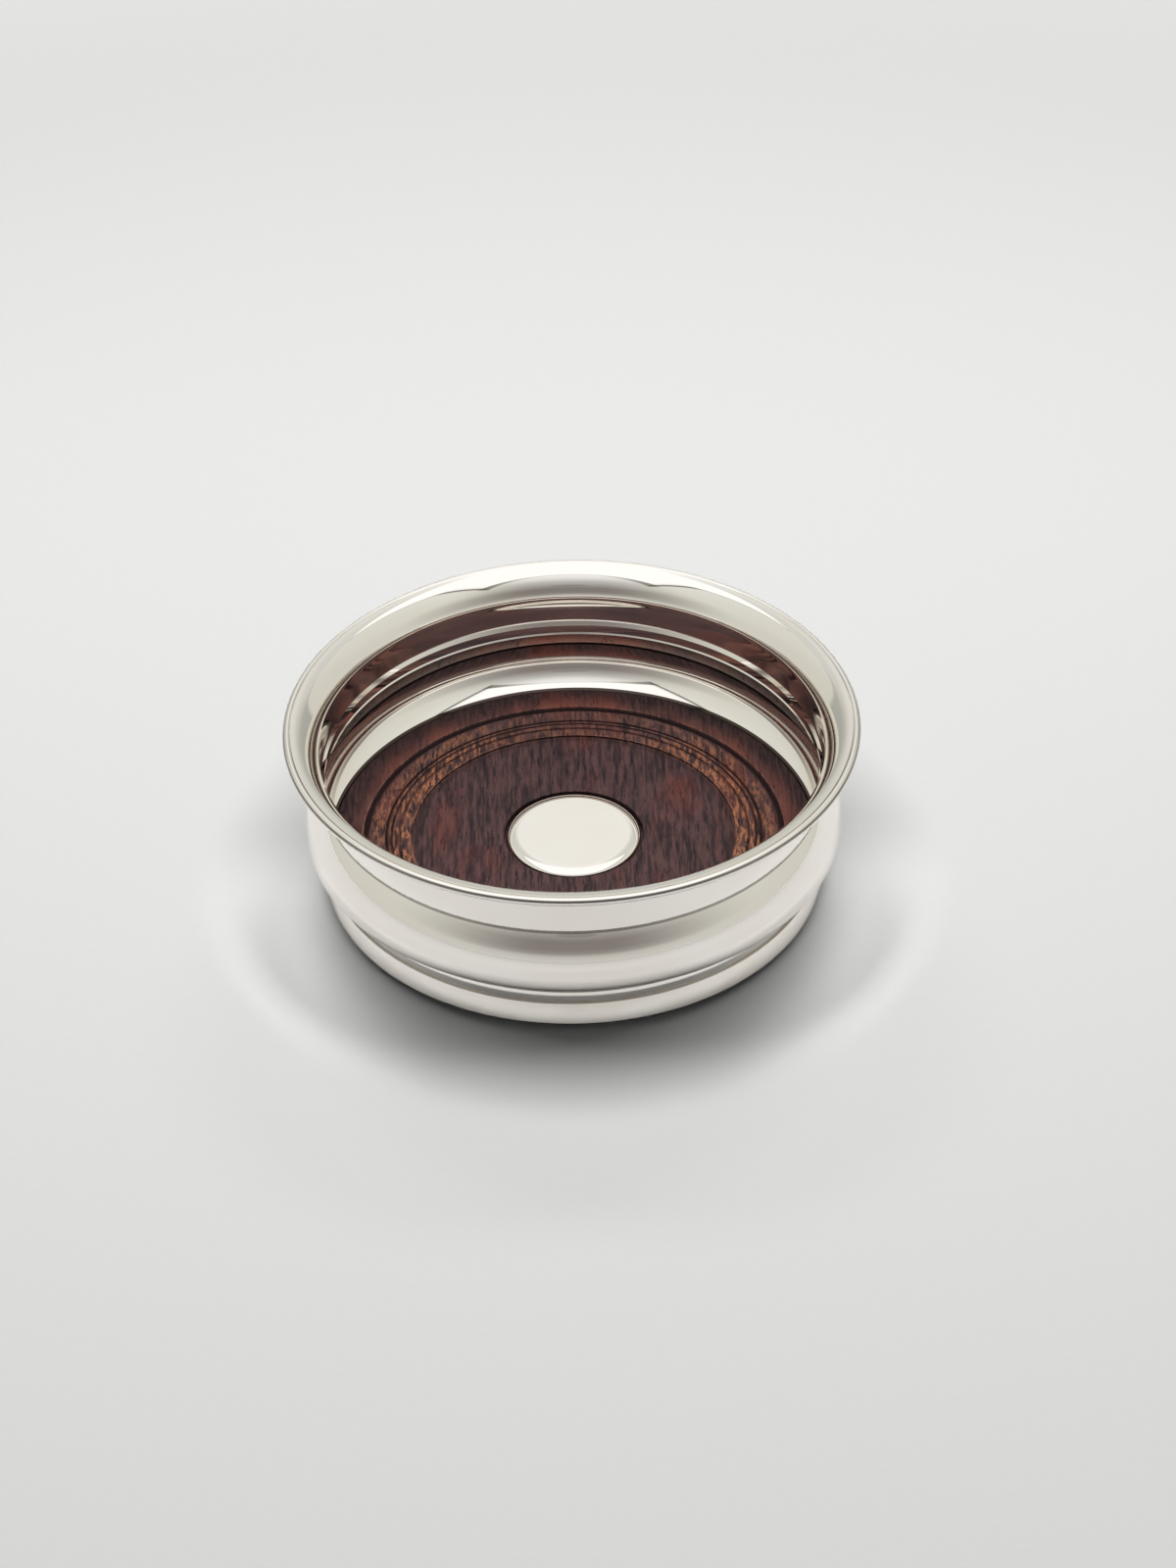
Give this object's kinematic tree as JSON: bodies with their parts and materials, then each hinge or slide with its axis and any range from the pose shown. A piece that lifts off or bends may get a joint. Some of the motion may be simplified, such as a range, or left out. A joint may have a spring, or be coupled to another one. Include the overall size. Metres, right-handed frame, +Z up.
{
  "type": "wine bottle coaster",
  "caption": "Round wine bottle coaster: spun silver gallery with flared lip and belly on a turned dark wooden base with a silver boss.",
  "frame": {"origin": "middle of the underside of the baize, on the table", "axes": "+Z up along the axis of turning; the picture was taken from the -Y side"},
  "size_m": [0.13, 0.13, 0.0424],
  "materials": {
    "gallery": "polished silver",
    "rim_wire": "polished silver",
    "foot_band": "polished silver, softened by handling",
    "foot_pins": "silver filed flush",
    "wood_base": "dark mahogany, polished",
    "boss": "polished silver",
    "boss_peg": "plain silver",
    "baize_pad": "dark green baize"
  },
  "bodies": {
    "root": {"gallery": "gallery", "rim_wire": "rim_wire", "foot_band": "foot_band", "foot_pins": "foot_pins", "wood_base": "wood_base", "boss": "boss", "boss_peg": "boss_peg", "baize_pad": "baize_pad"}
  },
  "joints": []
}
